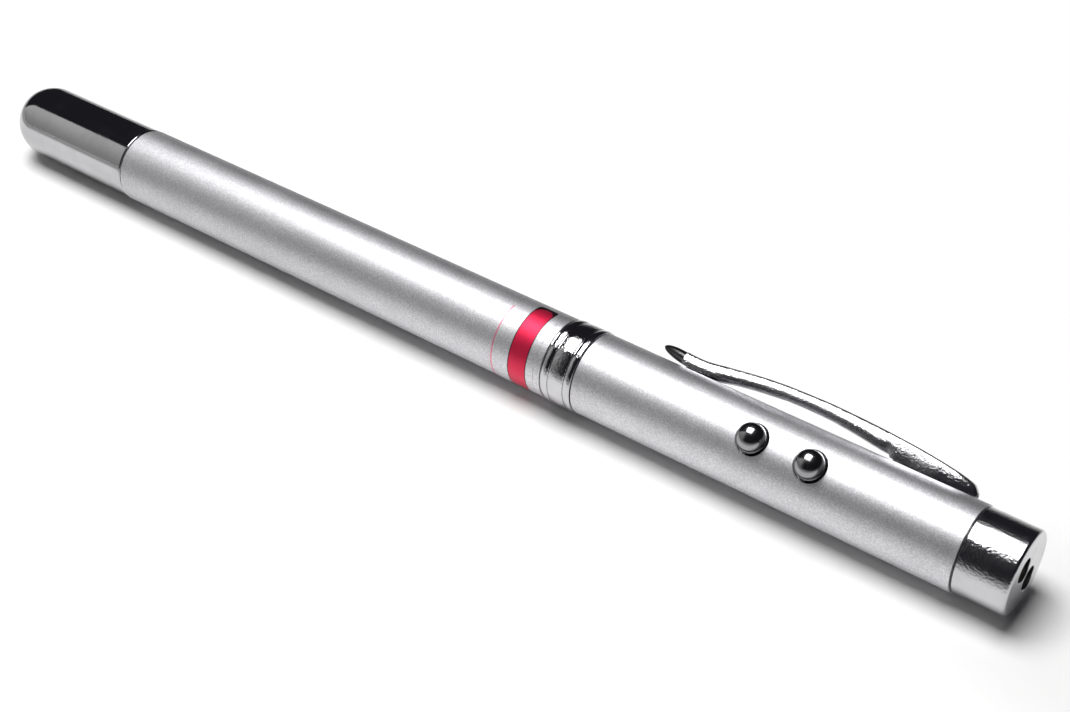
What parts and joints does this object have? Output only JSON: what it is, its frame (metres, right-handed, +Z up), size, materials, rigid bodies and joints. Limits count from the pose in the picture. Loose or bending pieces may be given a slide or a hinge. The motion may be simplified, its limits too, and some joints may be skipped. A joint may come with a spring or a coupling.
{
  "type": "multifunction pen",
  "caption": "Slim metal pen with two push buttons, red and white lamps in the nose, a pocket clip, a screwed middle ring and a telescopic pointer that ends in a capped ballpoint.",
  "frame": {"origin": "middle of the pen's outer box in X and Y, on the surface that the pen lies on", "axes": "+X along the pen towards the nose with the two lamps, +Z up, the buttons facing up and towards -Y and the clip up and towards +Y"},
  "size_m": [0.168, 0.0134, 0.0122],
  "materials": {
    "satin_silver": "satin silver, fine grain",
    "chrome": "bright plated",
    "brass": "turned",
    "steel": "bright",
    "black_plastic": "moulded",
    "white_plastic": "moulded",
    "board_green": "solder mask",
    "clear_lens": "clear",
    "blue_ink": "wet",
    "printed_film": "silver film with a plain red band"
  },
  "bodies": {
    "head": {"upper_barrel": "satin_silver", "nose_cap": "chrome", "lamp_holder": "black_plastic", "laser_housing": "brass", "laser_lens": "clear_lens", "laser_diode": "steel", "laser_lead_1": "steel", "laser_lead_2": "steel", "led_lamp": "clear_lens", "led_lead_1": "steel", "led_lead_2": "steel", "circuit_board": "board_green", "laser_switch": "black_plastic", "led_switch": "black_plastic", "laser_resistor": "black_plastic", "led_resistor": "black_plastic", "battery_contact": "brass", "battery_spring": "steel", "battery_sleeve": "white_plastic"},
    "laser_button": {"laser_button": "chrome", "laser_switch_plunger": "white_plastic"},
    "led_button": {"led_button": "chrome", "led_switch_plunger": "white_plastic"},
    "clip": {"pocket_clip": "chrome"},
    "cells": {"button_cell_1": "steel", "button_cell_2": "steel", "button_cell_3": "steel"},
    "lower_half": {"middle_ring": "chrome", "lower_barrel": "satin_silver", "label_film": "printed_film", "pointer_anchor": "white_plastic", "pointer_base_tube": "steel", "tail_bush": "chrome"},
    "section_1": {"pointer_section_1": "chrome"},
    "section_2": {"pointer_section_2": "chrome"},
    "section_3": {"pointer_section_3": "chrome"},
    "section_4": {"pointer_section_4": "chrome"},
    "section_5": {"pointer_section_5": "chrome", "writing_head": "chrome", "refill_tube": "white_plastic", "ink_column": "blue_ink", "refill_point": "brass", "refill_ball": "steel"},
    "cap": {"tail_cap": "chrome", "cap_liner": "white_plastic"}
  },
  "joints": [
    {"name": "laser_button_press", "type": "slide", "parent": "head", "child": "laser_button", "axis": [0, 0.5878, -0.809], "range_m": [0, 0.0004], "stiffness_N_per_m": 2000},
    {"name": "led_button_press", "type": "slide", "parent": "head", "child": "led_button", "axis": [0, 0.5878, -0.809], "range_m": [0, 0.0004], "stiffness_N_per_m": 2000},
    {"name": "clip_lift", "type": "hinge", "parent": "head", "child": "clip", "pos_m": [0.07526, 0.00359, 0.00903], "axis": [0, 0.5878, -0.809], "range_deg": [0, 3], "stiffness_Nm_per_rad": 2},
    {"name": "barrel_unscrew", "type": "slide", "parent": "head", "child": "cells", "axis": [-1, 0, 0], "range_m": [0, 0.0055]},
    {"name": "barrel_turn", "type": "hinge", "parent": "cells", "child": "lower_half", "pos_m": [0.02496, -0.00102, 0.00568], "axis": [-1, 0, 0], "range_deg": [0, 1980]},
    {"name": "pointer_slide_1", "type": "slide", "parent": "lower_half", "child": "section_1", "axis": [-1, 0, 0], "range_m": [0, 0.062]},
    {"name": "pointer_slide_2", "type": "slide", "parent": "section_1", "child": "section_2", "axis": [-1, 0, 0], "range_m": [0, 0.062]},
    {"name": "pointer_slide_3", "type": "slide", "parent": "section_2", "child": "section_3", "axis": [-1, 0, 0], "range_m": [0, 0.062]},
    {"name": "pointer_slide_4", "type": "slide", "parent": "section_3", "child": "section_4", "axis": [-1, 0, 0], "range_m": [0, 0.062]},
    {"name": "pointer_slide_5", "type": "slide", "parent": "section_4", "child": "section_5", "axis": [-1, 0, 0], "range_m": [0, 0.062]},
    {"name": "cap_pull", "type": "slide", "parent": "section_5", "child": "cap", "axis": [-1, 0, 0], "range_m": [0, 0.026]}
  ],
  "couplings": [
    {"joint": "barrel_turn", "follows": "barrel_unscrew", "rad_per_m": 6283.2}
  ]
}
